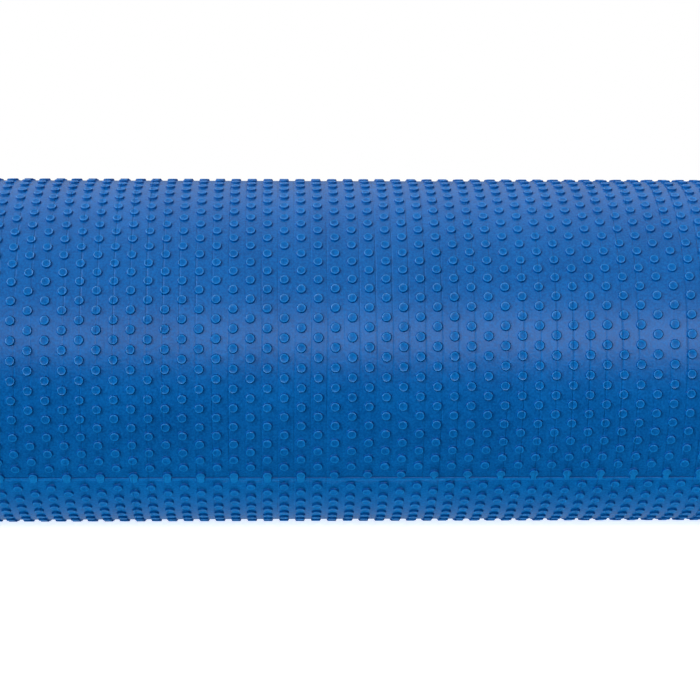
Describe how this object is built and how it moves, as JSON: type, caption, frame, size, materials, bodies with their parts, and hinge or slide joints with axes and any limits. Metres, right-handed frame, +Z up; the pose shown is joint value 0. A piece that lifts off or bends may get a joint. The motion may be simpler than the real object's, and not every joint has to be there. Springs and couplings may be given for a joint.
{
  "type": "foam roller",
  "caption": "Round foam massage roller: blue foam skin with staggered raised dots over a firm foam sleeve on a hollow tube with trim rings in its ends.",
  "frame": {"origin": "centre of the roller, on its axis at mid length", "axes": "+X along the roller's axis to its right end, +Z up, and the front faces -Y"},
  "size_m": [0.45, 0.15, 0.15],
  "materials": {
    "skin_foam": "moulded closed-cell foam, satin, with low raised dots",
    "sleeve_foam": "firm closed-cell foam, cut and matt",
    "tube_plastic": "extruded plastic, matt, with faint lines along its length",
    "ring_plastic": "moulded plastic, fine matt grain"
  },
  "bodies": {
    "root": {"core_tube": "tube_plastic", "foam_sleeve": "sleeve_foam", "skin_upper": "skin_foam", "skin_lower": "skin_foam", "end_ring_left": "ring_plastic", "end_ring_right": "ring_plastic"}
  },
  "joints": []
}
